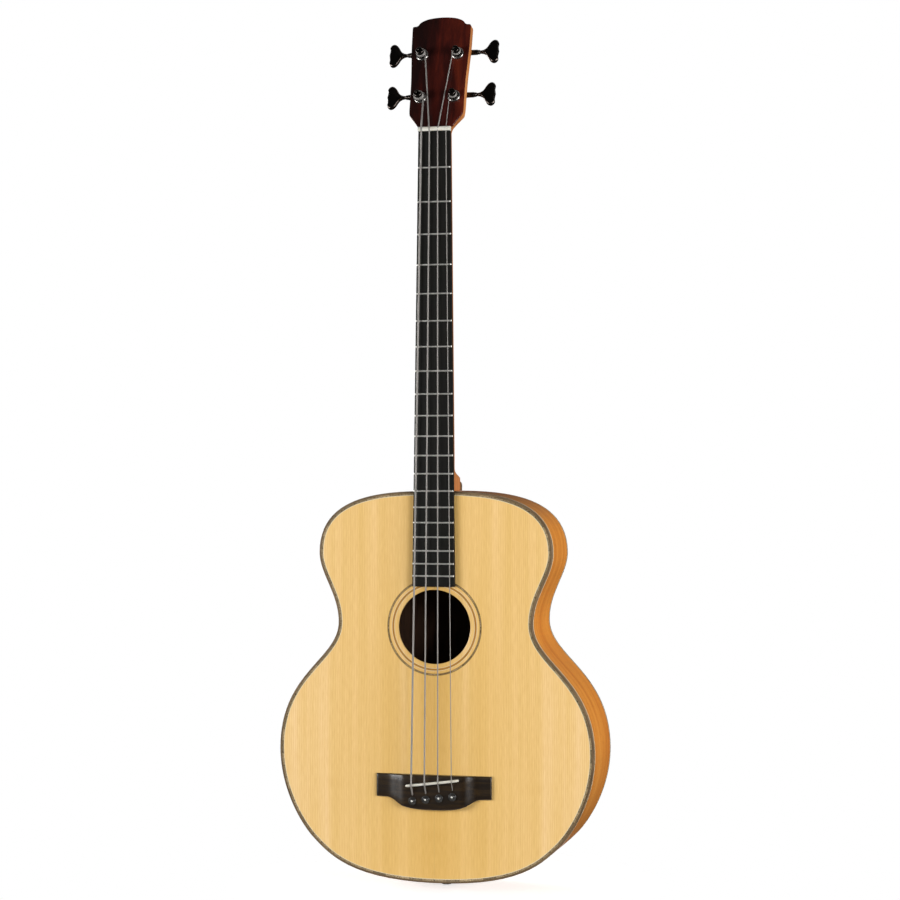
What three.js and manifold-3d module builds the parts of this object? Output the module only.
// Acoustic bass guitar: a flat-top body with a round sound hole, a bolt-free tenon neck that
// joins it at the fourteenth fret, and a tilted headstock with two tuning machines a side.
//
// Frame: +Z runs up the neck, -Y is the front (the soundboard's side) and +X is the treble side.
// The origin is the middle of the strap button's outer face, at the tail. Lengths are millimetres.
// Inside the body group y = 0 is the soundboard's outer face and z = 0 is the tail.
import * as THREE from 'three';
import { mergeVertices } from 'three/addons/utils/BufferGeometryUtils.js';
import Module from 'manifold-3d';

const wasm = await Module();
wasm.setup();

// Scale and strings, bass side first
const scale_length = 864;
const fret_count = 20;
const body_join_fret = 14;
const string_diameters = [2.54, 2.03, 1.65, 1.14];
const string_spacing_at_nut = 11.23;
const string_spacing_at_saddle = 18.27;
const nut_action = 0.5;
const twelfth_fret_action = 2.8;

// Body
const body_length = 520.4;
const lower_bout_width = 431;
const waist_width = 266.3;
const upper_bout_width = 320.3;
const tail_depth = 132.6;
const neck_end_depth = 97.9;
const back_dish_radius = 6000;
const top_thickness = 3.2;
const back_thickness = 2.8;
const side_thickness = 2.5;
const sound_hole_radius = 49.3;

// Neck and headstock
const nut_width = 43.8;
const board_width_at_join = 54.8;
const board_thickness = 6.5;
const board_end_margin = 14.3;
const board_crown_radius = 400;
const neck_set_back = 4.4;
const neck_depth_at_nut = 15.5;
const neck_depth_at_join = 18.5;
const head_length = 165.5;
const head_width = 81;
const head_thickness = 16;
const head_tilt = THREE.MathUtils.degToRad(14);

// Clearances: glued joints keep a thin line, cutters run past the faces that they cut
const seat_gap = 0.3;
const overrun = 1;

// Finishes, from the photographed object
const finish = {
  spruce: { color: '#e9c17c', roughness: 0.32, metalness: 0 },
  mahogany_gloss: { color: '#d58e46', roughness: 0.25, metalness: 0 },
  bare_wood: { color: '#c9a06c', roughness: 0.8, metalness: 0 },
  rosewood: { color: '#33261c', roughness: 0.6, metalness: 0 },
  dark_binding: { color: '#2c1a12', roughness: 0.3, metalness: 0 },
  abalone: { color: '#8fa294', roughness: 0.2, metalness: 0 },
  neck_wood: { color: '#9b5f38', roughness: 0.35, metalness: 0 },
  head_veneer: { color: '#2a0d09', roughness: 0.18, metalness: 0 },
  ivory: { color: '#d5d3c6', roughness: 0.4, metalness: 0 },
  black_plastic: { color: '#0f0e0e', roughness: 0.25, metalness: 0 },
  black_nickel: { color: '#2a2726', roughness: 0.2, metalness: 1 },
  steel: { color: '#8f9093', roughness: 0.35, metalness: 1 },
  bronze_string: { color: '#b79a76', roughness: 0.35, metalness: 1 },
};

// Named meshes
const guitar = new THREE.Group();
const body = new THREE.Group();
guitar.add(body);

function place(parent, name, geometry, look) {
  const mesh = new THREE.Mesh(geometry, new THREE.MeshStandardMaterial(finish[look]));
  mesh.name = name;
  parent.add(mesh);
  return mesh;
}

// Turns every triangle round if the closed surface faces inwards
function facingOut(geometry) {
  const at = geometry.attributes.position;
  const index = geometry.index;
  const [a, b, c] = [new THREE.Vector3(), new THREE.Vector3(), new THREE.Vector3()];
  let volume = 0;
  for (let i = 0; i < index.count; i += 3) {
    a.fromBufferAttribute(at, index.getX(i));
    b.fromBufferAttribute(at, index.getX(i + 1));
    c.fromBufferAttribute(at, index.getX(i + 2));
    volume += a.dot(b.cross(c));
  }
  if (volume < 0) {
    for (let i = 0; i < index.count; i += 3) {
      const second = index.getX(i + 1);
      index.setX(i + 1, index.getX(i + 2));
      index.setX(i + 2, second);
    }
  }
  geometry.computeVertexNormals();
  return geometry;
}

function welded(geometry) {
  const bare = geometry.clone();
  bare.deleteAttribute('normal');
  bare.deleteAttribute('uv');
  return facingOut(mergeVertices(bare));
}

// A closed skin over rings of points, capped at both ends or joined end to end
function loft(rings, closed = false) {
  const per = rings[0].length;
  const points = rings.flat();
  const index = [];
  const spans = closed ? rings.length : rings.length - 1;
  for (let i = 0; i < spans; i += 1) {
    const here = i * per;
    const next = ((i + 1) % rings.length) * per;
    for (let j = 0; j < per; j += 1) {
      const k = (j + 1) % per;
      index.push(here + j, next + j, next + k, here + j, next + k, here + k);
    }
  }
  if (!closed) {
    for (const [ring, turn] of [[rings[0], 1], [rings[rings.length - 1], -1]]) {
      const start = points.indexOf(ring[0]);
      const middle = ring.reduce((sum, p) => sum.add(p), new THREE.Vector3()).divideScalar(per);
      points.push(middle);
      for (let j = 0; j < per; j += 1) {
        const pair = [start + j, start + ((j + 1) % per)];
        if (turn < 0) pair.reverse();
        index.push(points.length - 1, ...pair);
      }
    }
  }
  const geometry = new THREE.BufferGeometry().setFromPoints(points);
  geometry.setIndex(index);
  return facingOut(geometry);
}

// A flat plate: a shape in the x-z plane, from one depth to another
function plate(shape, front_y, rear_y) {
  const geometry = new THREE.ExtrudeGeometry(shape, { depth: rear_y - front_y, bevelEnabled: false });
  geometry.rotateX(Math.PI / 2);
  geometry.translate(0, rear_y, 0);
  return welded(geometry);
}

function boxBetween(low, high) {
  const size = high.clone().sub(low);
  const middle = low.clone().add(high).multiplyScalar(0.5);
  return welded(new THREE.BoxGeometry(size.x, size.y, size.z).translate(middle.x, middle.y, middle.z));
}

const Y_AXIS = new THREE.Vector3(0, 1, 0);
function rodBetween(from, to, radius, sides, end_radius = radius) {
  const run = to.clone().sub(from);
  const geometry = new THREE.CylinderGeometry(end_radius, radius, run.length(), sides);
  geometry.applyQuaternion(new THREE.Quaternion().setFromUnitVectors(Y_AXIS, run.normalize()));
  const middle = from.clone().add(to).multiplyScalar(0.5);
  return welded(geometry.translate(middle.x, middle.y, middle.z));
}

// A turned piece: its profile is (radius, place along the axis), and the axis is local Y
function turned(profile, sides) {
  return welded(new THREE.LatheGeometry(profile.map(([r, y]) => new THREE.Vector2(r, y)), sides));
}

// Joining and cutting
function solidOf(geometry) {
  return new wasm.Manifold(new wasm.Mesh({
    numProp: 3,
    vertProperties: new Float32Array(geometry.attributes.position.array),
    triVerts: new Uint32Array(geometry.index.array),
  }));
}

function geometryOf(solid) {
  const mesh = solid.getMesh();
  const geometry = new THREE.BufferGeometry();
  geometry.setAttribute('position', new THREE.BufferAttribute(mesh.vertProperties, 3));
  geometry.setIndex(new THREE.BufferAttribute(mesh.triVerts, 1));
  geometry.computeVertexNormals();
  return geometry;
}

function join(first, ...others) {
  return geometryOf(others.reduce((sum, other) => sum.add(solidOf(other)), solidOf(first)));
}

function cut(first, ...cutters) {
  return geometryOf(cutters.reduce((rest, cutter) => rest.subtract(solidOf(cutter)), solidOf(first)));
}

function common(first, second) {
  return geometryOf(solidOf(first).intersect(solidOf(second)));
}

// A round tube through listed points, with one ring of the section at each point
class Route extends THREE.Curve {
  constructor(points) {
    super();
    this.points = points;
  }

  getPoint(t, target = new THREE.Vector3()) {
    const place_on_route = t * (this.points.length - 1);
    const i = Math.min(Math.floor(place_on_route), this.points.length - 2);
    return target.lerpVectors(this.points[i], this.points[i + 1], place_on_route - i);
  }

  getPointAt(t, target) {
    return this.getPoint(t, target);
  }

  getTangentAt(t, target = new THREE.Vector3()) {
    const i = Math.round(t * (this.points.length - 1));
    const before = this.points[Math.max(i - 1, 0)];
    const after = this.points[Math.min(i + 1, this.points.length - 1)];
    return target.subVectors(after, before).normalize();
  }
}

function tube(points, radius, sides) {
  const section = new THREE.Shape();
  for (let i = 0; i < sides; i += 1) {
    const angle = (2 * Math.PI * i) / sides;
    section[i ? 'lineTo' : 'moveTo'](radius * Math.cos(angle), radius * Math.sin(angle));
  }
  section.closePath();
  return welded(new THREE.ExtrudeGeometry(section, {
    steps: points.length - 1,
    extrudePath: new Route(points),
  }));
}

// Body outline: five stretches from the tail's middle round the treble side to the neck
const lower_bout_share = 0.3346;
const waist_share = 0.6625;
const upper_bout_share = 0.8419;
const hip_shares = [0.783, 0.313];
const handle_shares = {
  tail: 0.685, hip_in: 0.193, hip_out: 0.201, lower_in: 0.471, lower_out: 0.594,
  waist_in: 0.297, waist_out: 0.403, upper_in: 0.316, upper_out: 0.98, shoulder: 0.39,
};
const stretch_steps = [3, 4, 6, 4, 5];

function outlineStretches() {
  const tail = new THREE.Vector2(0, 0);
  const lower = new THREE.Vector2(lower_bout_width / 2, body_length * lower_bout_share);
  const hip = new THREE.Vector2(lower.x * hip_shares[0], lower.y * hip_shares[1]);
  const waist = new THREE.Vector2(waist_width / 2, body_length * waist_share);
  const upper = new THREE.Vector2(upper_bout_width / 2, body_length * upper_bout_share);
  const top = new THREE.Vector2(0, body_length);
  const across = new THREE.Vector2(1, 0);
  const along = new THREE.Vector2(0, 1);
  const diagonal = new THREE.Vector2(1, 1).normalize();
  const share = handle_shares;
  const stretch = (start, start_way, start_reach, end, end_way, end_reach) => new THREE.CubicBezierCurve(
    start, start.clone().addScaledVector(start_way, start_reach),
    end.clone().addScaledVector(end_way, end_reach), end,
  );
  const hip_rise = lower.y - hip.y;
  const waist_rise = waist.y - lower.y;
  const upper_rise = upper.y - waist.y;
  const shoulder_rise = top.y - upper.y;
  return [
    stretch(tail, across, share.tail * hip.x, hip, diagonal, -share.hip_in * hip.x),
    stretch(hip, diagonal, share.hip_out * hip_rise, lower, along, -share.lower_in * hip_rise),
    stretch(lower, along, share.lower_out * waist_rise, waist, along, -share.waist_in * waist_rise),
    stretch(waist, along, share.waist_out * upper_rise, upper, along, -share.upper_in * upper_rise),
    stretch(upper, along, share.upper_out * shoulder_rise, top, across, share.shoulder * upper.x),
  ];
}

// Stations on the treble half, each with its place and its outward direction in the x-z plane
const treble_stations = outlineStretches().flatMap((curve, i) => {
  const steps = stretch_steps[i];
  const first = i ? 1 : 0;
  return Array.from({ length: steps + 1 - first }, (_, k) => {
    const t = (k + first) / steps;
    const way = curve.getTangent(t);
    return { at: curve.getPoint(t), out: new THREE.Vector2(way.y, -way.x) };
  });
});

const mirrored = ({ at, out }) => ({
  at: new THREE.Vector2(-at.x, at.y),
  out: new THREE.Vector2(-out.x, out.y),
});
const all_stations = [...treble_stations, ...treble_stations.slice(1, -1).reverse().map(mirrored)];

// The stations of one side between two distances from the centre line, at the tail and at the neck
function sideStations(side, tail_x, neck_x) {
  const stop = (before, after, x) => {
    const t = (x - before.at.x) / (after.at.x - before.at.x);
    return {
      at: before.at.clone().lerp(after.at, t),
      out: before.out.clone().lerp(after.out, t).normalize(),
    };
  };
  const list = treble_stations;
  const first = list.findIndex((station) => station.at.x > tail_x);
  const last = list.findLastIndex((station) => station.at.x > neck_x);
  const part = [
    stop(list[first - 1], list[first], tail_x),
    ...list.slice(first, last + 1),
    stop(list[last], list[last + 1], neck_x),
  ];
  return side > 0 ? part : part.map(mirrored);
}

// Half the body's width at a height
function halfWidthAt(z) {
  const list = treble_stations;
  const next = Math.max(list.findIndex((station) => station.at.y > z), 1);
  const [low, high] = [list[next - 1].at, list[next].at];
  return low.x + ((high.x - low.x) * (z - low.y)) / (high.y - low.y);
}

const insetPoint = ({ at, out }, inset) => at.clone().addScaledVector(out, -inset);
const insetShape = (inset) => new THREE.Shape(all_stations.map((station) => insetPoint(station, inset)));

// The back's outer face: a shallow dish over the line that tapers from the tail to the neck
function backY(x, z) {
  const taper = (tail_depth - neck_end_depth) / body_length;
  const middle_z = body_length / 2;
  const dish = (middle_z ** 2 - (z - middle_z) ** 2 - x ** 2) / (2 * back_dish_radius);
  return tail_depth - taper * z + dish;
}

// A strip that follows the outline: its section is a list of (inset, depth at x and z)
function strip(stations, section, closed = false) {
  return loft(stations.map((station) => section.map(([inset, depth]) => {
    const p = insetPoint(station, inset);
    return new THREE.Vector3(p.x, depth(p.x, p.y), p.y);
  })), closed);
}
const level = (y) => () => y;
const aheadOfBack = (reach) => (x, z) => backY(x, z) - reach;

// Neck lines: places along the scale, and the playing surface's depth and crown
const fretReach = (n) => scale_length * (1 - 2 ** (-n / 12));
const join_z = body_length;
const nut_z = join_z + fretReach(body_join_fret);
const fretZ = (n) => nut_z - fretReach(n);
const board_end_z = fretZ(fret_count) - board_end_margin;
const setBack = (z) => (neck_set_back * (z - join_z)) / (nut_z - join_z);
const neckFrontY = (z) => Math.max(setBack(z), 0);
const boardY = (z) => setBack(z) - board_thickness;
const boardHalfWidth = (z) => {
  const widening = (board_width_at_join - nut_width) / (nut_z - join_z);
  return (nut_width + widening * (nut_z - z)) / 2;
};
const crownY = (x) => x ** 2 / (2 * board_crown_radius);

// String lines
const fret_height = 1.2;
const saddle_compensation = 1.6;
const saddle_slant_share = 0.128;
const saddleZ = (x) => nut_z - scale_length - saddle_compensation + saddle_slant_share * x;
function stringBottomY(x, z) {
  const rise = (twelfth_fret_action - nut_action) / (scale_length / 2);
  return boardY(z) - fret_height - nut_action - rise * (nut_z - z) + crownY(x);
}
const strings = string_diameters.map((diameter, i) => {
  const place_share = i - (string_diameters.length - 1) / 2;
  return {
    number: i + 1,
    radius: diameter / 2,
    saddle_x: place_share * string_spacing_at_saddle,
    nut_x: place_share * string_spacing_at_nut,
  };
});

// Top and back bindings, let into the outer edges of the body
const top_binding_height = 6;
const back_binding_height = 4;
place(body, 'top_binding', strip(all_stations, [
  [0, level(0)],
  [0, level(top_binding_height)],
  [side_thickness, level(top_binding_height)],
  [side_thickness, level(0)],
], true), 'dark_binding');
place(body, 'back_binding', strip(all_stations, [
  [0, aheadOfBack(back_binding_height)],
  [0, aheadOfBack(0)],
  [side_thickness, aheadOfBack(0)],
  [side_thickness, aheadOfBack(back_binding_height)],
], true), 'dark_binding');

// Shell purfling beside the top binding
const purfling_width = 2.4;
const purfling_depth = 1.5;
const plate_inset = side_thickness + seat_gap;
place(body, 'top_purfling', strip(all_stations, [
  [plate_inset, level(0)],
  [plate_inset, level(purfling_depth)],
  [plate_inset + purfling_width, level(purfling_depth)],
  [plate_inset + purfling_width, level(0)],
], true), 'abalone');

// Sound hole and the shell ring round it
const board_to_hole_gap = 4.3;
const sound_hole_z = board_end_z - board_to_hole_gap - sound_hole_radius;
const rosette_inner_radius = 61.5;
const rosette_width = 3.3;
const rosette_depth = 1.5;
const ring_sides = 28;
const hole_middle = new THREE.Vector3(0, 0, sound_hole_z);

function ringAround(middle, inner, outer, front_y, rear_y) {
  const section = [[inner, front_y], [outer, front_y], [outer, rear_y], [inner, rear_y], [inner, front_y]];
  return turned(section, ring_sides).translate(middle.x, 0, middle.z);
}
place(body, 'rosette', ringAround(
  hole_middle, rosette_inner_radius, rosette_inner_radius + rosette_width, 0, rosette_depth,
), 'abalone');

// Bridge pins and the way each string takes through the bridge
const pin_row_setback = 20.8;
const pin_shank_radius = 2.7;
const pin_tip_radius = 2.2;
const pin_head_radius = 5.4;
const pin_head_height = 3.6;
const pin_sides = 10;
const bridge_thickness = 10;
const bridge_plate_thickness = 3;
const ball_radius = 2.6;
const ball_length = 5;
const bend_steps = 5;
const string_sides = 8;
const bridge_plate_front_y = top_thickness + seat_gap;
const bridge_plate_rear_y = bridge_plate_front_y + bridge_plate_thickness;

for (const string of strings) {
  string.pin_z = saddleZ(string.saddle_x) - pin_row_setback;
  string.hole_z = string.pin_z + pin_shank_radius + seat_gap + string.radius;
}

function stringOverBridge(string) {
  const x = string.saddle_x;
  const saddle_z = saddleZ(x);
  const over_saddle = new THREE.Vector3(x, stringBottomY(x, saddle_z) - string.radius, saddle_z);
  const ramp_share = 0.24;
  const corner_depth_share = 0.72;
  const corner = new THREE.Vector3(x, -bridge_thickness * corner_depth_share, string.hole_z);
  const below = new THREE.Vector3(x, -bridge_thickness * ramp_share, string.hole_z);
  const ramp_end = corner.clone().lerp(over_saddle, ramp_share * 2);
  const bend = new THREE.QuadraticBezierCurve3(below, corner, ramp_end).getPoints(bend_steps);
  const ball = new THREE.Vector3(x, bridge_plate_rear_y + seat_gap + ball_radius, string.hole_z);
  return [ball, ...bend, over_saddle];
}

function clearanceTube(string) {
  return tube(stringOverBridge(string), string.radius + seat_gap, string_sides);
}

function pinBore(string) {
  const front = new THREE.Vector3(string.saddle_x, -bridge_thickness - overrun, string.pin_z);
  const rear = new THREE.Vector3(string.saddle_x, bridge_plate_rear_y + overrun, string.pin_z);
  return rodBetween(front, rear, pin_shank_radius + seat_gap, pin_sides);
}
const bridge_cutters = strings.flatMap((string) => [clearanceTube(string), pinBore(string)]);

for (const string of strings) {
  const collar_y = -bridge_thickness - seat_gap;
  const profile_shares = [[0, 1], [0.55, 0.86], [0.9, 0.5], [1, 0.2], [0.94, 0]];
  const pin = turned([
    ...profile_shares.map(([r, h]) => [r * pin_head_radius, collar_y - h * pin_head_height]),
    [pin_shank_radius, collar_y],
    [pin_tip_radius, bridge_plate_rear_y],
    [0, bridge_plate_rear_y],
  ], pin_sides);
  const mesh = place(body, `bridge_pin_${string.number}`, pin, 'black_plastic');
  mesh.position.set(string.saddle_x, 0, string.pin_z);
}

// Soundboard: the front layer stops at the purfling, the rear layer runs out to the binding
const front_layer_inset = plate_inset + purfling_width + seat_gap;
place(body, 'soundboard', cut(
  join(
    plate(insetShape(front_layer_inset), 0, top_thickness),
    plate(insetShape(plate_inset), purfling_depth + seat_gap, top_thickness),
  ),
  rodBetween(
    hole_middle.clone().setY(-overrun), hole_middle.clone().setY(top_thickness + overrun),
    sound_hole_radius, ring_sides,
  ),
  ringAround(
    hole_middle, rosette_inner_radius - seat_gap, rosette_inner_radius + rosette_width + seat_gap,
    -overrun, rosette_depth + seat_gap,
  ),
  ...bridge_cutters,
), 'spruce');

// Back plate: rings of the outline drawn in towards the middle, on the dish
const back_middle = new THREE.Vector2(0, body_length / 2);
const back_ring_spacing = 87;
const back_ring_count = Math.ceil(body_length / 2 / back_ring_spacing);
const back_ring_shares = Array.from({ length: back_ring_count }, (_, i) => (i + 1) / back_ring_count);
const backRing = (share, sink) => all_stations.map((station) => {
  const p = back_middle.clone().lerp(insetPoint(station, plate_inset), share);
  return new THREE.Vector3(p.x, backY(p.x, p.y) - sink, p.y);
});
place(body, 'back_plate', loft([
  ...back_ring_shares.map((share) => backRing(share, 0)),
  ...back_ring_shares.toReversed().map((share) => backRing(share, back_thickness)),
]), 'mahogany_gloss');

// Sides, with the strap button's hole at the tail and the tenon's opening at the neck
const tenon_width = 26;
const button_shank_radius = 4.8;
const button_middle_y = tail_depth / 2;
const side_front_y = top_binding_height + seat_gap;
const tenon_opening = tenon_width / 2 + seat_gap;
const button_sides = 16;
const tail_block_length = 24;
const button_bore = rodBetween(
  new THREE.Vector3(0, button_middle_y, -overrun),
  new THREE.Vector3(0, button_middle_y, side_thickness + seat_gap + tail_block_length + overrun),
  button_shank_radius + seat_gap, button_sides,
);
const sides = [['bass', -1], ['treble', 1]];
for (const [name, side] of sides) {
  place(body, `rim_${name}_side`, cut(strip(sideStations(side, seat_gap / 2, tenon_opening), [
    [0, level(side_front_y)],
    [0, aheadOfBack(back_binding_height + seat_gap)],
    [side_thickness, aheadOfBack(back_binding_height + seat_gap)],
    [side_thickness, level(side_front_y)],
  ]), button_bore), 'mahogany_gloss');
}

// Blocks inside the ends of the body
const inner_front_y = top_thickness + seat_gap;
const innerBackY = (x, z) => backY(x, z) - back_thickness - seat_gap;
const neck_block_width = 84;
const neck_block_length = 48;
const tail_block_width = 76;
const tenon_length = 20;
const tenon_front_y = side_front_y + seat_gap;
const tenon_rear_gap = 19.9;
const tenon_rear_y = neck_end_depth - tenon_rear_gap;
const truss_channel_width = 6.2;
const truss_rod_front_y = 6.9;
const truss_rod_height = 5.5;
const truss_channel_rear_y = truss_rod_front_y + truss_rod_height + seat_gap;

// A block that fills the body's end between two heights, shaped to the inside of the sides
function endBlock(width, low_z, high_z) {
  const half = width / 2;
  const ring = (z) => [
    new THREE.Vector3(-half, inner_front_y, z),
    new THREE.Vector3(half, inner_front_y, z),
    new THREE.Vector3(half, innerBackY(half, z), z),
    new THREE.Vector3(-half, innerBackY(half, z), z),
  ];
  const inside = plate(insetShape(side_thickness + seat_gap), 0, tail_depth);
  return common(loft([ring(low_z), ring(high_z)]), inside);
}
const neck_block_low_z = body_length - side_thickness - neck_block_length;
const mortise = boxBetween(
  new THREE.Vector3(-tenon_opening, side_front_y, join_z - tenon_length - seat_gap),
  new THREE.Vector3(tenon_opening, tenon_rear_y + seat_gap, join_z + overrun),
);
const rod_passage = boxBetween(
  new THREE.Vector3(-truss_channel_width / 2, inner_front_y - overrun, neck_block_low_z - overrun),
  new THREE.Vector3(truss_channel_width / 2, truss_channel_rear_y, join_z),
);
place(body, 'neck_block', cut(
  endBlock(neck_block_width, neck_block_low_z, body_length), mortise, rod_passage,
), 'bare_wood');
place(body, 'tail_block', cut(
  endBlock(tail_block_width, 0, side_thickness + seat_gap + tail_block_length), button_bore,
), 'bare_wood');

// Kerfed linings glued inside the sides, in the corners with the top and the back
const lining_width = 6;
const lining_foot_share = 0.35;
const lining_height = 12.5;
const lining_outer = side_thickness + seat_gap;
const lining_inner = lining_outer + lining_width;
const lining_foot = lining_outer + lining_width * lining_foot_share;

// The room that a block takes at an end of the body, with a thin line round it
function blockRoom(width, low_z, high_z) {
  const half = width / 2 + seat_gap;
  return boxBetween(
    new THREE.Vector3(-half, -overrun, low_z), new THREE.Vector3(half, tail_depth + overrun, high_z),
  );
}
const block_rooms = [
  blockRoom(tail_block_width, -overrun, tail_block_length),
  blockRoom(neck_block_width, neck_block_low_z, body_length + overrun),
];
for (const [name, side] of sides) {
  const run = sideStations(side, tail_block_width / 2 - lining_width, neck_block_width / 2 - lining_width);
  place(body, `top_lining_${name}`, cut(strip(run, [
    [lining_outer, level(inner_front_y)],
    [lining_inner, level(inner_front_y)],
    [lining_foot, level(inner_front_y + lining_height)],
    [lining_outer, level(inner_front_y + lining_height)],
  ]), ...block_rooms), 'bare_wood');
  const back_seat = back_thickness + seat_gap;
  place(body, `back_lining_${name}`, cut(strip(run, [
    [lining_outer, aheadOfBack(back_seat)],
    [lining_inner, aheadOfBack(back_seat)],
    [lining_foot, aheadOfBack(back_seat + lining_height)],
    [lining_outer, aheadOfBack(back_seat + lining_height)],
  ]), ...block_rooms), 'bare_wood');
}

// A brace between two places in the x-z plane, with its height tapering to the ends
const taper_shares = [[0, 0.25], [0.2, 0.75], [0.5, 1], [0.8, 0.75], [1, 0.25]];
function brace(start, end, width, height, edges) {
  const run = end.clone().sub(start);
  const beside = new THREE.Vector2(run.y, -run.x).normalize().multiplyScalar(width / 2);
  return loft(taper_shares.map(([t, height_share]) => {
    const p = start.clone().lerp(end, t);
    const [a, b] = [p.clone().add(beside), p.clone().sub(beside)];
    return [
      new THREE.Vector3(a.x, edges.glued(a.x, a.y), a.y),
      new THREE.Vector3(b.x, edges.glued(b.x, b.y), b.y),
      new THREE.Vector3(b.x, edges.free(p.x, p.y, height * height_share), b.y),
      new THREE.Vector3(a.x, edges.free(p.x, p.y, height * height_share), a.y),
    ];
  }));
}
const on_top = { glued: () => inner_front_y, free: (x, z, height) => inner_front_y + height };
const back_brace_seat = 2 * seat_gap;
const on_back = {
  glued: (x, z) => backY(x, z) - back_thickness - back_brace_seat,
  free: (x, z, height) => backY(x, z) - back_thickness - back_brace_seat - height,
};

// The brace above the sound hole
const brace_end_share = 0.87;
const transverse_brace_share = 0.79;
const transverse_brace_width = 12;
const transverse_brace_height = 18;
const transverse_z = body_length * transverse_brace_share;
const transverse_x = halfWidthAt(transverse_z) * brace_end_share;
place(body, 'transverse_brace', brace(
  new THREE.Vector2(-transverse_x, transverse_z), new THREE.Vector2(transverse_x, transverse_z),
  transverse_brace_width, transverse_brace_height, on_top,
), 'bare_wood');

// X braces under the top: they cross between the bridge and the sound hole, half-lapped, and
// run on until they near the sides or the brace above the hole
const x_brace_width = 8;
const x_brace_height = 17;
const x_crossing_share = 0.74;
const x_splay = THREE.MathUtils.degToRad(46);
const x_crossing_z = THREE.MathUtils.lerp(saddleZ(0), sound_hole_z - sound_hole_radius, x_crossing_share);
function xBraceReach(way) {
  const high_z = transverse_z - transverse_brace_width - x_brace_width;
  const step = x_brace_width / 8;
  let reach = 0;
  let p = new THREE.Vector2(0, x_crossing_z);
  while (Math.abs(p.x) < halfWidthAt(p.y) * brace_end_share && p.y < high_z) {
    reach += step;
    p = new THREE.Vector2(0, x_crossing_z).addScaledVector(way, reach);
  }
  return p;
}
function xBraceEnds(side) {
  const up = new THREE.Vector2(side * Math.sin(x_splay), Math.cos(x_splay));
  return [xBraceReach(up.clone().negate()), xBraceReach(up)];
}
const lap_y = inner_front_y + x_brace_height / 2;
function lapCutter(side, front_y, rear_y) {
  const edges = { glued: () => front_y, free: () => rear_y };
  return brace(...xBraceEnds(side), x_brace_width + 2 * seat_gap, 0, edges);
}
place(body, 'x_brace_1', cut(
  brace(...xBraceEnds(1), x_brace_width, x_brace_height, on_top),
  lapCutter(-1, inner_front_y - overrun, lap_y + seat_gap / 2),
), 'bare_wood');
place(body, 'x_brace_2', cut(
  brace(...xBraceEnds(-1), x_brace_width, x_brace_height, on_top),
  lapCutter(1, lap_y - seat_gap / 2, inner_front_y + x_brace_height + overrun),
), 'bare_wood');

// Tone bar below the bridge, from near the treble side to the middle of the tail
const tone_bar_end_shares = [[0.52, 0.18], [-0.046, 0.071]];
const tone_bar_height = 10;
const [tone_bar_start, tone_bar_end] = tone_bar_end_shares.map(
  ([x, z]) => new THREE.Vector2((x * lower_bout_width) / 2, z * body_length),
);
place(body, 'tone_bar', brace(
  tone_bar_start, tone_bar_end, x_brace_width, tone_bar_height, on_top,
), 'bare_wood');

// Ladder braces across the back
const back_brace_shares = [0.23, 0.48, 0.81];
const back_brace_width = 12;
const back_brace_height = 13;
back_brace_shares.forEach((z_share, i) => {
  const z = body_length * z_share;
  const x = halfWidthAt(z) * brace_end_share;
  place(body, `back_brace_${i + 1}`, brace(
    new THREE.Vector2(-x, z), new THREE.Vector2(x, z), back_brace_width, back_brace_height, on_back,
  ), 'bare_wood');
});

// Bridge plate inside, under the bridge
const bridge_plate_half_width = 76;
const bridge_plate_low_reach = 17;
const bridge_plate_high_reach = 12;
const bridge_plate_taper_share = 0.78;
function bridgePlateShape() {
  const low = saddleZ(0) - pin_row_setback - bridge_plate_low_reach;
  const high = saddleZ(0) + bridge_plate_high_reach;
  const top_half = bridge_plate_half_width * bridge_plate_taper_share;
  return new THREE.Shape([
    new THREE.Vector2(-bridge_plate_half_width, low),
    new THREE.Vector2(bridge_plate_half_width, low),
    new THREE.Vector2(top_half, high),
    new THREE.Vector2(-top_half, high),
  ]);
}
place(body, 'bridge_plate', cut(
  plate(bridgePlateShape(), bridge_plate_front_y, bridge_plate_rear_y), ...bridge_cutters,
), 'bare_wood');

// Bridge: thick in the middle, thin wings, and a belly below the pins
const bridge_length = 157.2;
const bridge_wing_thickness = 4;
const bridge_top_reach = 10;
const bridge_wing_height = 30.9;
const bridge_belly = 15.2;
const bridge_edge_round = 1.5;
const saddle_length = 73;
const saddle_thickness = 3.3;
const saddle_slot_depth = 6;
// Each station: share of the half length, share of the belly, share of the extra thickness
const bridge_station_shares = [
  [0, 1, 1], [0.32, 0.93, 1], [0.547, 0.69, 1], [0.61, 0.5, 0.8], [0.67, 0.3, 0.52],
  [0.74, 0.12, 0.22], [0.81, 0, 0], [0.97, 0, 0], [1, -0.1, -0.3],
];
function bridgeBlank() {
  const high = saddleZ(0) + bridge_top_reach;
  const wing_low = high - bridge_wing_height;
  const stations = [
    ...bridge_station_shares.toReversed().map(([x, ...rest]) => [-x, ...rest]),
    ...bridge_station_shares.slice(1),
  ];
  return loft(stations.map(([x_share, belly_share, thick_share]) => {
    const x = (x_share * bridge_length) / 2;
    const low = wing_low - bridge_belly * belly_share;
    const top = high - Math.max(-belly_share, 0) * bridge_belly;
    const extra = bridge_thickness - bridge_wing_thickness;
    const face = -(bridge_wing_thickness + extra * thick_share);
    return [
      [low, -seat_gap], [low, face + bridge_edge_round], [low + bridge_edge_round, face],
      [top - bridge_edge_round, face], [top, face + bridge_edge_round], [top, -seat_gap],
    ].map(([z, y]) => new THREE.Vector3(x, y, z));
  }));
}

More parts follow.
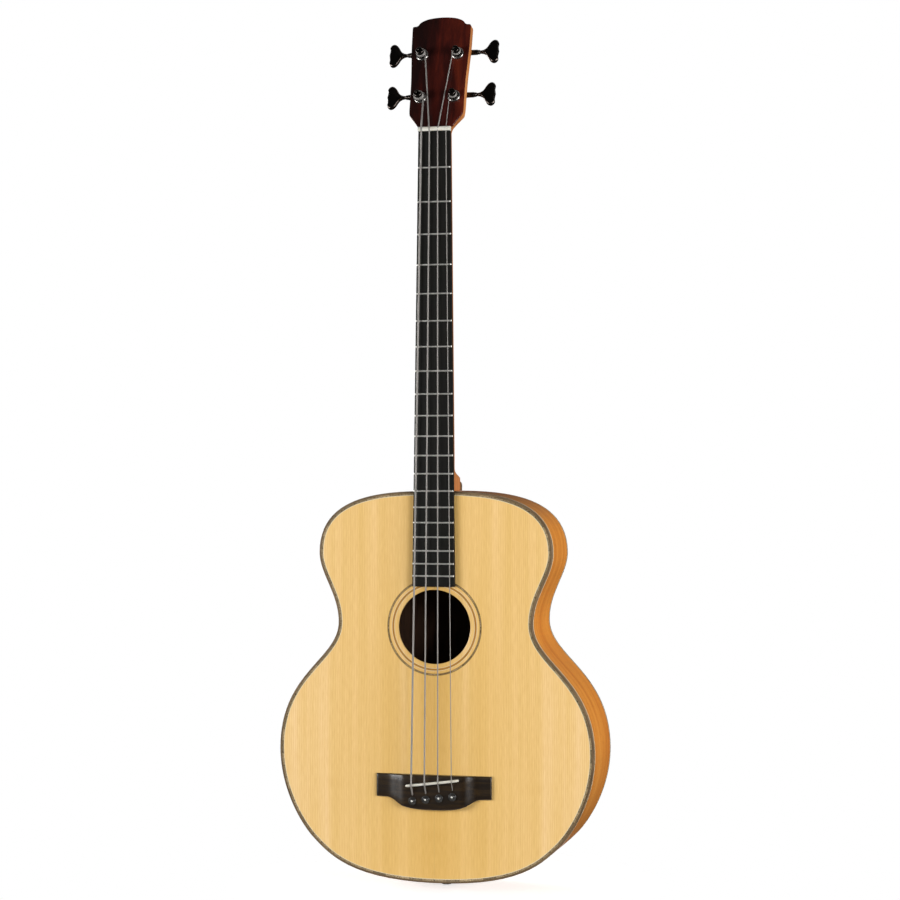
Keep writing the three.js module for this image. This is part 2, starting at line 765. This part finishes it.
// A bar along the saddle's slanted line, from one depth to another, with its top edges eased
function saddleBar(length, thickness, frontAt, rear_y, edge_drops) {
  const slant = Math.atan(saddle_slant_share);
  const station_shares = [-0.5, -0.25, 0, 0.25, 0.5];
  const crest_share = 0.25;
  const half = thickness / 2;
  return loft(station_shares.map((share) => {
    const x = share * length * Math.cos(slant);
    const z = saddleZ(x);
    const front = frontAt(x, z);
    return [
      [-half, rear_y], [-half, front + edge_drops[0]], [0, front],
      [crest_share * thickness, front], [half, front + edge_drops[1]], [half, rear_y],
    ].map(
      ([across, y]) => new THREE.Vector3(x - across * Math.sin(slant), y, z + across * Math.cos(slant)),
    );
  }));
}
const saddle_edge_drops = [1.35, 0.5];
const saddle_rear_y = -bridge_thickness + saddle_slot_depth;
place(body, 'bridge', cut(
  bridgeBlank(),
  saddleBar(
    saddle_length + 2 * seat_gap, saddle_thickness + 2 * seat_gap,
    level(-bridge_thickness - overrun), saddle_rear_y + seat_gap, [0, 0],
  ),
  ...bridge_cutters,
), 'rosewood');
place(body, 'saddle', saddleBar(
  saddle_length, saddle_thickness, (x, z) => stringBottomY(x, z) + seat_gap, saddle_rear_y,
  saddle_edge_drops,
), 'ivory');

// Strap button: a turned end pin whose shank is driven through the tail block
const button_reach = 12.5;
const button_length = 34;
const button_profile_shares = [[0.8, 1], [1, 0.9], [1, 0.72], [0.62, 0.45], [0.9, 0.16], [0.9, 0.024]];
const button_head_radius = 7.3;
const button_tip_radius = 4.1;
const button = turned([
  [0, -button_reach],
  ...button_profile_shares.map(([r, h]) => [r * button_head_radius, -h * button_reach]),
  [button_shank_radius, -seat_gap],
  [button_tip_radius, button_length - button_reach],
  [0, button_length - button_reach],
], button_sides);
button.rotateX(Math.PI / 2);
place(body, 'strap_button', button, 'black_plastic').position.set(0, button_middle_y, 0);

// Headstock frame: its origin is on the face at the nut line, tilted back from the neck
const head_veneer_thickness = 2;
const head_face_rise = 2.5;
const head = new THREE.Group();
head.position.set(0, neckFrontY(nut_z) - head_face_rise, nut_z);
head.rotation.x = -head_tilt;
body.add(head);
head.updateMatrix();

const nut_thickness = 6;
const head_foot_reach = 7;
const tuner_bore_radius = 6.5;
const tuner_sides = 12;
// Each point: share of the half width, share of the head's length
const head_outline_shares = [
  [0.724, 0.089], [0.835, 0.125], [0.914, 0.163], [0.931, 0.453], [0.988, 0.725], [1, 0.912],
  [0.975, 0.927], [0.827, 0.933], [0.72, 0.963], [0.5, 0.987], [0.25, 0.997],
];
const low_tuner_shares = [0.578, 0.301];
const high_tuner_shares = [0.607, 0.674];
const tuner_places = [
  ['e', -1, low_tuner_shares], ['a', -1, high_tuner_shares],
  ['d', 1, high_tuner_shares], ['g', 1, low_tuner_shares],
].map(([name, side, [x_share, z_share]]) => (
  { name, side, x: (x_share * head_width) / 2, z: z_share * head_length }
));

function headShape(foot) {
  const half = head_outline_shares.map(([x, z]) => new THREE.Vector2((x * head_width) / 2, z * head_length));
  const treble = [...foot.map(([x, z]) => new THREE.Vector2(x, z)), ...half];
  const tip = new THREE.Vector2(0, head_length);
  const bass = treble.toReversed().map((p) => new THREE.Vector2(-p.x, p.y));
  const shape = new THREE.Shape([...treble, tip, ...bass]);
  for (const { side, x, z } of tuner_places) {
    const hole = new THREE.Path();
    for (let i = 0; i < tuner_sides; i += 1) {
      const angle = (2 * Math.PI * i) / tuner_sides;
      const point = [side * x + tuner_bore_radius * Math.cos(angle), z + tuner_bore_radius * Math.sin(angle)];
      hole[i ? 'lineTo' : 'moveTo'](...point);
    }
    hole.closePath();
    shape.holes.push(hole);
  }
  return shape;
}
const head_foot_width_share = 1.1;
const foot_corner = [(nut_width / 2) * head_foot_width_share, head_foot_reach];
place(head, 'head_veneer', plate(headShape([foot_corner]), 0, head_veneer_thickness), 'head_veneer');

// Neck: shaft, heel and tenon in one piece with the headstock's core
const heel_cap_thickness = 3;
const heel_reach = 44;
const heel_end_width_share = 0.5;
const heel_end_y = neck_end_depth - heel_cap_thickness - seat_gap;
// Each station of the heel: share of its reach above the join, share of its depth
const heel_shares = [
  [0, 1], [0.34, 1], [0.41, 0.93], [0.47, 0.74], [0.53, 0.5], [0.6, 0.28], [0.7, 0.12], [0.83, 0.03],
  [1, 0],
];
// Half sections from the board's edge to the middle of the back, as shares of half width and depth
const shaft_section_shares = [[1, 0], [0.99, 0.25], [0.93, 0.5], [0.78, 0.74], [0.5, 0.92], [0, 1]];
const heel_section_shares = [
  [1, 0], [0.91, 0.2], [0.8, 0.42], [0.68, 0.66], [heel_end_width_share, 1], [0, 1],
];
const shaft_stations = 4;

function neckRing(z, heel_share) {
  const front = neckFrontY(z);
  const half_width = boardHalfWidth(z);
  const along = (z - join_z) / (nut_z - join_z);
  const shaft_depth = neck_depth_at_join + (neck_depth_at_nut - neck_depth_at_join) * along;
  const depth = shaft_depth + (heel_end_y - shaft_depth) * heel_share;
  const half = shaft_section_shares.map(([x, y], i) => {
    const [heel_x, heel_y] = heel_section_shares[i];
    const blend = Math.sqrt(heel_share);
    return [x + (heel_x - x) * blend, y + (heel_y - y) * blend];
  });
  const bass = half.slice(0, -1).toReversed().map(([x, y]) => [-x, y]);
  return [...half, ...bass].map(([x, y]) => new THREE.Vector3(x * half_width, front + y * depth, z));
}
const heel_foot_z = join_z + seat_gap;
const shaft_top_z = nut_z + nut_thickness + seat_gap;
const neck_rings = [
  ...heel_shares.map(([z_share, depth_share]) => neckRing(heel_foot_z + z_share * heel_reach, depth_share)),
  ...Array.from({ length: shaft_stations }, (_, i) => {
    const heel_top_z = heel_foot_z + heel_reach;
    return neckRing(heel_top_z + ((i + 1) / shaft_stations) * (shaft_top_z - heel_top_z), 0);
  }),
];
const core_front_y = head_veneer_thickness + seat_gap;
const head_core = plate(
  headShape([[nut_width / 2, -head_foot_reach], foot_corner]), core_front_y, head_thickness,
).applyMatrix4(head.matrix);
const tenon = boxBetween(
  new THREE.Vector3(-tenon_width / 2, tenon_front_y, join_z - tenon_length),
  new THREE.Vector3(tenon_width / 2, tenon_rear_y, join_z + overrun),
);
const truss_rod_end_gap = 12;
const truss_rod_top_z = nut_z - truss_rod_end_gap;
const truss_channel = boxBetween(
  new THREE.Vector3(-truss_channel_width / 2, -overrun, join_z - tenon_length - overrun),
  new THREE.Vector3(truss_channel_width / 2, truss_channel_rear_y, join_z),
);
const shaft_channel = loft([join_z - overrun, truss_rod_top_z + seat_gap].map((z) => {
  const rear = truss_channel_rear_y + setBack(z);
  const half = truss_channel_width / 2;
  return [[-half, -overrun], [half, -overrun], [half, rear], [-half, rear]].map(
    ([x, y]) => new THREE.Vector3(x, y, z),
  );
}));
// Clears the core's foot away from the nut's seat and from the end of the board
const nut_seat = loft([nut_z - 2 * head_foot_reach, shaft_top_z].map((z) => {
  const floor = neckFrontY(z);
  const [far_x, far_y] = [head_width, -head_width];
  return [[-far_x, far_y], [far_x, far_y], [far_x, floor], [-far_x, floor]].map(
    ([x, y]) => new THREE.Vector3(x, y, z),
  );
}));
place(body, 'neck', cut(
  join(loft(neck_rings), cut(head_core, nut_seat), tenon), truss_channel, shaft_channel,
), 'neck_wood');

// Heel cap on the end of the heel, flush with the back
const heel_cap_outline_shares = [[1, 0], [1, 0.55], [0.86, 0.82], [0.5, 0.96], [0, 1]];
const heel_cap_reach_share = 0.33;
const heel_cap_half_width = boardHalfWidth(join_z) * heel_end_width_share;
const heel_cap_half = heel_cap_outline_shares.map(
  ([x, z]) => [x * heel_cap_half_width, heel_foot_z + z * heel_reach * heel_cap_reach_share],
);
place(body, 'heel_cap', plate(
  new THREE.Shape([
    ...heel_cap_half.map(([x, z]) => new THREE.Vector2(x, z)),
    ...heel_cap_half.slice(0, -1).toReversed().map(([x, z]) => new THREE.Vector2(-x, z)),
  ]),
  heel_end_y + seat_gap, neck_end_depth,
), 'rosewood');

// Truss rod in its channel, and the hex nut that tensions it, reached through the sound hole
const truss_rod_width = 5.6;
const truss_stud_radius = 2.2;
const truss_nut_radius = 5;
const truss_nut_length = 10;
const truss_washer_gap = 0.5;
const rod_low_z = neck_block_low_z + seat_gap;
const rodMiddle = (z) => new THREE.Vector3(0, truss_rod_front_y + truss_rod_height / 2 + setBack(z), z);
const rod_bar = loft([rod_low_z, truss_rod_top_z].map((z) => {
  const middle = rodMiddle(z);
  const [half_x, half_y] = [truss_rod_width / 2, truss_rod_height / 2];
  return [[-half_x, -half_y], [half_x, -half_y], [half_x, half_y], [-half_x, half_y]].map(
    ([x, y]) => new THREE.Vector3(x, middle.y + y, z),
  );
}));
const stud_tip_z = rod_low_z - truss_washer_gap - truss_nut_length;
const stud_direction = rodMiddle(join_z).sub(rodMiddle(rod_low_z)).normalize();
const stud_foot = rodMiddle(rod_low_z).addScaledVector(stud_direction, overrun);
const stud_tip = rodMiddle(rod_low_z).addScaledVector(stud_direction, stud_tip_z - rod_low_z);
const hex_sides = 6;
const rod_stud = rodBetween(stud_tip, stud_foot, truss_stud_radius, pin_sides);
place(body, 'truss_rod', join(rod_bar, rod_stud), 'steel');
const nut_top = rodMiddle(rod_low_z).addScaledVector(stud_direction, -truss_washer_gap);
const nut_low = nut_top.clone().addScaledVector(stud_direction, -truss_nut_length);
place(body, 'truss_rod_nut', cut(
  rodBetween(nut_low, nut_top, truss_nut_radius, hex_sides),
  rodBetween(
    nut_low.clone().addScaledVector(stud_direction, -overrun),
    nut_top.clone().addScaledVector(stud_direction, overrun),
    truss_stud_radius + seat_gap, pin_sides,
  ),
), 'steel');

// Fingerboard with its frets: each fret is a crowned bar pressed across the board
const fret_width = 2.4;
const fret_crown_share = 0.5;
const board_section_shares = [-1, 0, 1];
function boardRing(z, rise) {
  const half = boardHalfWidth(z);
  const under = neckFrontY(z) - seat_gap;
  const top = board_section_shares.map((share) => {
    const x = share * half;
    return new THREE.Vector3(x, boardY(z) + crownY(x) - rise, z);
  });
  return [new THREE.Vector3(-half, under, z), ...top, new THREE.Vector3(half, under, z)];
}
const board_rings = [boardRing(nut_z - seat_gap, 0)];
for (let n = 1; n <= fret_count; n += 1) {
  const z = fretZ(n);
  const crown_half = (fret_width * fret_crown_share) / 2;
  board_rings.push(
    boardRing(z + fret_width / 2, 0),
    boardRing(z + crown_half, fret_height),
    boardRing(z - crown_half, fret_height),
    boardRing(z - fret_width / 2, 0),
  );
  if (n === body_join_fret) board_rings.push(boardRing(join_z - fret_width, 0));
}
board_rings.push(boardRing(board_end_z, 0));
place(body, 'fingerboard', loft(board_rings), 'rosewood');

// Strings: each runs whole from its ball under the bridge plate, over the saddle and the nut,
// to the inner side of its post, where the wound turns carry on
const post_waist_radius = 4.1;
const post_base_radius = 5;
const post_height = 15.5;
const winding_clearance = 0.6;
const slot_level = 10;
const winding_turns = [2, 2, 2, 3];
for (const string of strings) {
  const tuner = tuner_places[string.number - 1];
  tuner.string = string;
  tuner.turns = winding_turns[string.number - 1];
  tuner.coil_radius = post_waist_radius + seat_gap + string.radius;
  tuner.coil_pitch = 2 * string.radius + winding_clearance;
  tuner.coil_start_y = -slot_level + tuner.turns * tuner.coil_pitch;
}

function stringRoute(string) {
  const tuner = tuner_places[string.number - 1];
  const nut_y = stringBottomY(string.nut_x, nut_z) - string.radius;
  const nut_front = new THREE.Vector3(string.nut_x, nut_y, nut_z);
  const inner_side = tuner.side * (tuner.x - tuner.coil_radius);
  const tangent = new THREE.Vector3(inner_side, tuner.coil_start_y, tuner.z).applyMatrix4(head.matrix);
  const nut_rear = nut_front.clone().lerp(tangent, nut_thickness / (tangent.z - nut_z));
  const nut_roll_share = 0.35;
  nut_rear.y = THREE.MathUtils.lerp(nut_front.y, nut_rear.y, nut_roll_share);
  return [...stringOverBridge(string), nut_front, nut_rear, tangent];
}

// The room that a winding sweeps as its post turns
function windingSweep(tuner, clearance) {
  const radius = tuner.coil_radius + tuner.string.radius + clearance;
  const reach = tuner.string.radius + clearance;
  return rodBetween(
    new THREE.Vector3(tuner.side * tuner.x, tuner.coil_start_y + reach, tuner.z),
    new THREE.Vector3(tuner.side * tuner.x, -slot_level - reach, tuner.z),
    radius, ring_sides,
  ).applyMatrix4(head.matrix);
}
for (const string of strings) {
  const tuner = tuner_places[string.number - 1];
  const [ball_at] = stringOverBridge(string);
  const half_ball = new THREE.Vector3(ball_length / 2, 0, 0);
  const [ball_start, ball_end] = [ball_at.clone().sub(half_ball), ball_at.clone().add(half_ball)];
  const ball = rodBetween(ball_start, ball_end, ball_radius, pin_sides);
  place(body, `string_${tuner.name}`, cut(
    join(tube(stringRoute(string), string.radius, string_sides), ball),
    windingSweep(tuner, seat_gap),
  ), 'bronze_string');
}

// Nut: a bone bar across the end of the board, slotted for the strings
const nut_cheek = 1.6;
const nut_slope_share = 0.55;
const nut_drop = 2.2;
const nut_station_shares = [-1, -0.4, 0.4, 1];
function nutBlank() {
  const low_z = nut_z;
  const high_z = nut_z + nut_thickness;
  return loft(nut_station_shares.map((share) => {
    const x = (share * nut_width) / 2;
    const top = stringBottomY(x, nut_z) - nut_cheek;
    const under = neckFrontY(nut_z) - seat_gap;
    return [
      [low_z, under], [low_z, top], [low_z + nut_thickness * nut_slope_share, top],
      [high_z, top + nut_drop], [high_z, under],
    ].map(([z, y]) => new THREE.Vector3(x, y, z));
  }));
}
const nut_slots = strings.map((string) => {
  const [over_saddle, ...past_nut] = stringRoute(string).slice(stringOverBridge(string).length - 1);
  return tube([over_saddle, ...past_nut], string.radius + seat_gap, string_sides);
});
place(body, 'nut', cut(nutBlank(), ...nut_slots), 'ivory');

// Tuning machines. The worm on the key's shaft turns the wheel on the foot of the post.
const wheel_teeth = 16;
const wheel_tip_radius = 7.6;
const wheel_root_radius = 6.2;
const wheel_tip_width = 0.6;
const wheel_root_width = 1.5;
const wheel_thickness = 3.8;
const worm_root_radius = 2;
const worm_tip_radius = 3.2;
const worm_tip_width = 0.6;
const worm_root_width = 1.24;
const worm_turns = 2.25;
const worm_offset = 10;
const worm_setback = 5;
const worm_depth = head_thickness + worm_setback;
const worm_pitch = (2 * Math.PI * (wheel_tip_radius + worm_offset - worm_tip_radius)) / (2 * wheel_teeth);
const wheel_front_y = worm_depth - wheel_thickness / 2;
const wheel_rear_y = worm_depth + wheel_thickness / 2;

// Ferrule: the flanged bush that lines the head's bore
const ferrule_flange_radius = 8.5;
const ferrule_flange = 2;
const ferrule_sleeve_radius = tuner_bore_radius - seat_gap;
const ferrule_bore_radius = post_base_radius + seat_gap;
const ferrule_recess = 1;
const ferrule_foot_y = head_thickness - ferrule_recess;
const ferrule_rim_share = 0.45;
function ferrule() {
  return turned([
    [ferrule_bore_radius, -ferrule_flange],
    [ferrule_flange_radius - ferrule_flange * ferrule_rim_share, -ferrule_flange],
    [ferrule_flange_radius, -ferrule_flange * ferrule_rim_share],
    [ferrule_flange_radius, -seat_gap],
    [ferrule_sleeve_radius, -seat_gap],
    [ferrule_sleeve_radius, ferrule_foot_y],
    [ferrule_bore_radius, ferrule_foot_y],
    [ferrule_bore_radius, -ferrule_flange],
  ], tuner_sides);
}

// Winding: whole turns round the post's waist, then the end dives into the slot
const steps_per_turn = 24;
const winding_sides = 6;
const dive_steps = 6;
function windingPath(tuner) {
  const { side, turns, coil_radius, coil_pitch, coil_start_y, string } = tuner;
  const start_angle = side > 0 ? Math.PI : 0;
  const way = -side;
  const at = (radius, angle, y) => new THREE.Vector3(radius * Math.cos(angle), y, radius * Math.sin(angle));
  const points = [];
  for (let i = 0; i <= turns * steps_per_turn; i += 1) {
    const turn = i / steps_per_turn;
    points.push(at(coil_radius, start_angle + way * 2 * Math.PI * turn, coil_start_y - coil_pitch * turn));
  }
  const bend = 2 * string.radius;
  const bend_middle_radius = coil_radius - bend;
  const end_angle = start_angle + way * 2 * Math.PI * turns;
  const middle = at(bend_middle_radius, end_angle, -slot_level);
  const sweep = Math.PI / 2 + Math.asin(bend / bend_middle_radius);
  for (let i = 1; i <= dive_steps; i += 1) {
    points.push(at(bend, end_angle + way * sweep * (i / dive_steps), 0).add(middle));
  }
  const slot_angle = end_angle + way * Math.asin(bend / bend_middle_radius);
  points.push(at(0, slot_angle, -slot_level));
  const lead_in = 3;
  return { points, slot_angle, dive: points.slice(-dive_steps - lead_in - 1) };
}

// The least gap between two turns of one winding, measured on its points
function leastGap(points, radius) {
  let least = Infinity;
  const half_turn = steps_per_turn / 2;
  points.forEach((p, i) => {
    for (let k = i + half_turn; k < points.length; k += 1) {
      least = Math.min(least, p.distanceTo(points[k]) - 2 * radius);
    }
  });
  return least;
}

function wheel() {
  const twist = worm_pitch / (2 * Math.PI * ((worm_root_radius + worm_tip_radius) / 2)) / wheel_root_radius;
  const ring = (y) => Array.from({ length: wheel_teeth }, (_, i) => {
    const middle = Math.PI / 2 + (2 * Math.PI * (i + 0.5)) / wheel_teeth;
    const corners = [
      [wheel_root_radius, -wheel_root_width], [wheel_tip_radius, -wheel_tip_width],
      [wheel_tip_radius, wheel_tip_width], [wheel_root_radius, wheel_root_width],
    ];
    return corners.map(([radius, width]) => {
      const angle = middle + width / 2 / radius - twist * (y - worm_depth);
      return new THREE.Vector3(radius * Math.cos(angle), y, radius * Math.sin(angle));
    });
  }).flat();
  return loft([ring(wheel_front_y), ring(wheel_rear_y)]);
}

// String post: turned shaft with a slotted top, with the worm wheel on its foot
const post_stub_radius = 2.5;
const post_stub_length = 1.8;
const post_cap_share = 0.13;
const post_shoulder_share = 0.19;
const worm_foot_share = 0.75;
function stringPost(tuner, winding) {
  const post = turned([
    [0, -post_height],
    [post_base_radius - post_cap_share * post_base_radius, -post_height],
    [post_base_radius, -post_height * (1 - post_cap_share / 2)],
    [post_waist_radius, -post_height * (1 - post_cap_share)],
    [post_waist_radius, -post_height * post_shoulder_share],
    [post_base_radius, -post_height * (post_shoulder_share - post_cap_share)],
    [post_base_radius, wheel_front_y + overrun],
    [post_stub_radius, wheel_front_y + overrun],
    [post_stub_radius, wheel_rear_y + post_stub_length],
    [0, wheel_rear_y + post_stub_length],
  ], tuner_sides);
  const half = tuner.string.radius + seat_gap;
  const slot = boxBetween(
    new THREE.Vector3(-half, -post_height - overrun, -half),
    new THREE.Vector3(2 * post_base_radius, -slot_level + half, half),
  ).rotateY(-winding.slot_angle);
  const way_in = tube(winding.dive, tuner.string.radius + seat_gap, string_sides);
  return cut(join(post, wheel()), slot, way_in);
}

// Housing: a cast drum over the wheel with a cross tunnel for the worm and a boss for its shaft
const drum_radius = 10.2;
const drum_height = 11;
const drum_rear_y = head_thickness + drum_height;
const drum_front_y = head_thickness + seat_gap;
const wheel_room_radius = 8.3;
const wheel_room_clearance = 0.6;
const wheel_room_rear_y = wheel_rear_y + wheel_room_clearance;
const worm_room_radius = 3.7;
const worm_room_half = 6.6;
const tunnel_radius = 4.6;
const tunnel_half = 11;
const boss_radius = 3.6;
const boss_reach = 23;
const shaft_bore_radius = worm_root_radius + seat_gap;
const journal_reach = 9.5;
const housing_sides = 14;
function housing(side) {
  const onWorm = (x) => new THREE.Vector3(side * x, worm_depth, worm_offset);
  const onPost = (y) => new THREE.Vector3(0, y, 0);
  return cut(
    join(
      rodBetween(onPost(drum_front_y), onPost(drum_rear_y), drum_radius, housing_sides),
      rodBetween(onWorm(-tunnel_half), onWorm(tunnel_half), tunnel_radius, tuner_sides),
      rodBetween(onWorm(tunnel_half - overrun), onWorm(boss_reach), boss_radius, tuner_sides),
    ),
    rodBetween(onPost(drum_front_y - overrun), onPost(wheel_room_rear_y), wheel_room_radius, housing_sides),
    rodBetween(
      onPost(wheel_room_rear_y - overrun), onPost(wheel_rear_y + post_stub_length + seat_gap),
      post_stub_radius + seat_gap, tuner_sides,
    ),
    rodBetween(onWorm(-worm_room_half), onWorm(worm_room_half), worm_room_radius, tuner_sides),
    rodBetween(onWorm(-journal_reach - seat_gap), onWorm(boss_reach + overrun), shaft_bore_radius, pin_sides),
  );
}

// Key: worm and shaft, with a cloverleaf button for finger and thumb
const key_height = 33.5;
const key_reach = 21;
const key_thickness = 6.5;
const key_start = 31;
const collar_radius = 3.2;
const collar_start = boss_reach + seat_gap;
// Half outline of the button: share of its reach, share of its half height
const key_outline_shares = [
  [0, 0.17], [0.12, 0.25], [0.26, 0.44], [0.4, 0.74], [0.55, 0.94], [0.74, 1], [0.89, 0.9],
  [0.97, 0.69], [0.94, 0.45], [0.97, 0.22], [1, 0],
];
const worm_steps_per_turn = 8;
function key() {
  const half = key_outline_shares.map(([x, z]) => [key_start + x * key_reach, (z * key_height) / 2]);
  const outline = [...half, ...half.slice(0, -1).toReversed().map(([x, z]) => [x, -z])];
  const button_plate = plate(
    new THREE.Shape(outline.map(([x, z]) => new THREE.Vector2(x, z))), -key_thickness / 2, key_thickness / 2,
  );
  const onAxis = (x) => new THREE.Vector3(x, 0, 0);
  const steps = Math.round(worm_turns * worm_steps_per_turn);
  const worm_foot_radius = worm_root_radius * worm_foot_share;
  const thread = loft(Array.from({ length: steps + 1 }, (_, i) => {
    const turn = (i / steps - 0.5) * worm_turns;
    const angle = 2 * Math.PI * turn - Math.PI / 2;
    const middle = worm_pitch * turn;
    return [
      [worm_foot_radius, -worm_root_width], [worm_tip_radius, -worm_tip_width],
      [worm_tip_radius, worm_tip_width], [worm_foot_radius, worm_root_width],
    ].map(([radius, width]) => new THREE.Vector3(
      middle + width / 2, radius * Math.cos(angle), radius * Math.sin(angle),
    ));
  }));
  return join(
    rodBetween(onAxis(-journal_reach), onAxis(key_start + overrun), worm_root_radius, pin_sides),
    rodBetween(onAxis(collar_start), onAxis(key_start + overrun), collar_radius, pin_sides),
    button_plate, thread,
  );
}

for (const tuner of tuner_places) {
  const machine = new THREE.Group();
  machine.position.set(tuner.side * tuner.x, 0, tuner.z);
  head.add(machine);
  const winding = windingPath(tuner);
  const gap = leastGap(winding.points, tuner.string.radius);
  console.log(`winding ${tuner.name}: least gap to itself ${gap.toFixed(2)} mm`);
  place(machine, `tuner_ferrule_${tuner.name}`, ferrule(), 'black_nickel');
  place(machine, `tuner_housing_${tuner.name}`, housing(tuner.side), 'black_nickel');
  place(machine, `string_post_${tuner.name}`, stringPost(tuner, winding), 'black_nickel');
  const coil = tube(winding.points, tuner.string.radius, winding_sides);
  place(machine, `string_winding_${tuner.name}`, coil, 'bronze_string');
  const key_mesh = place(machine, `tuner_key_${tuner.name}`, key(), 'black_nickel');
  key_mesh.position.set(0, worm_depth, worm_offset);
  key_mesh.rotation.z = tuner.side > 0 ? 0 : Math.PI;
}

body.position.set(0, -button_middle_y, button_reach);

export default guitar;
